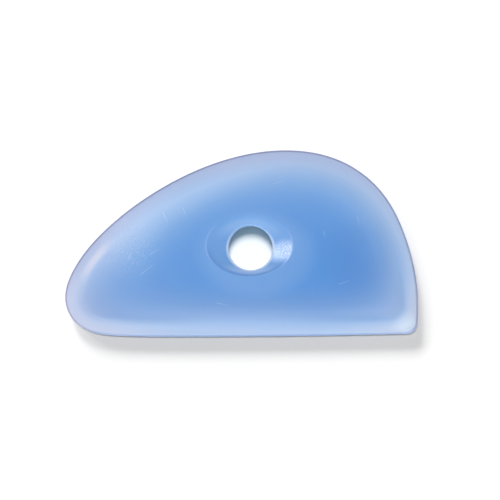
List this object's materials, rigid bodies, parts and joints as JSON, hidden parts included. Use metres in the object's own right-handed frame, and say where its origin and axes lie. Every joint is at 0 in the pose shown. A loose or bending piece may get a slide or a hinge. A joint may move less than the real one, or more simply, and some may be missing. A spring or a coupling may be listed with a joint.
{
  "type": "pottery rib",
  "caption": "Kidney-backed hand rib in translucent polymer for shaping clay, with a straight edge, a curved back, bevelled all round, and a dished finger hole.",
  "frame": {"origin": "centre of the finger hole, halfway through the thickness", "axes": "+X along the length towards the heel, +Y across towards the curved back, +Z along the finger hole, out of one face"},
  "size_m": [0.1333, 0.0705, 0.0064],
  "materials": {
    "polymer": "translucent blue, satin, paler towards the thin edge"
  },
  "bodies": {
    "root": {"rib": "polymer"}
  },
  "joints": []
}
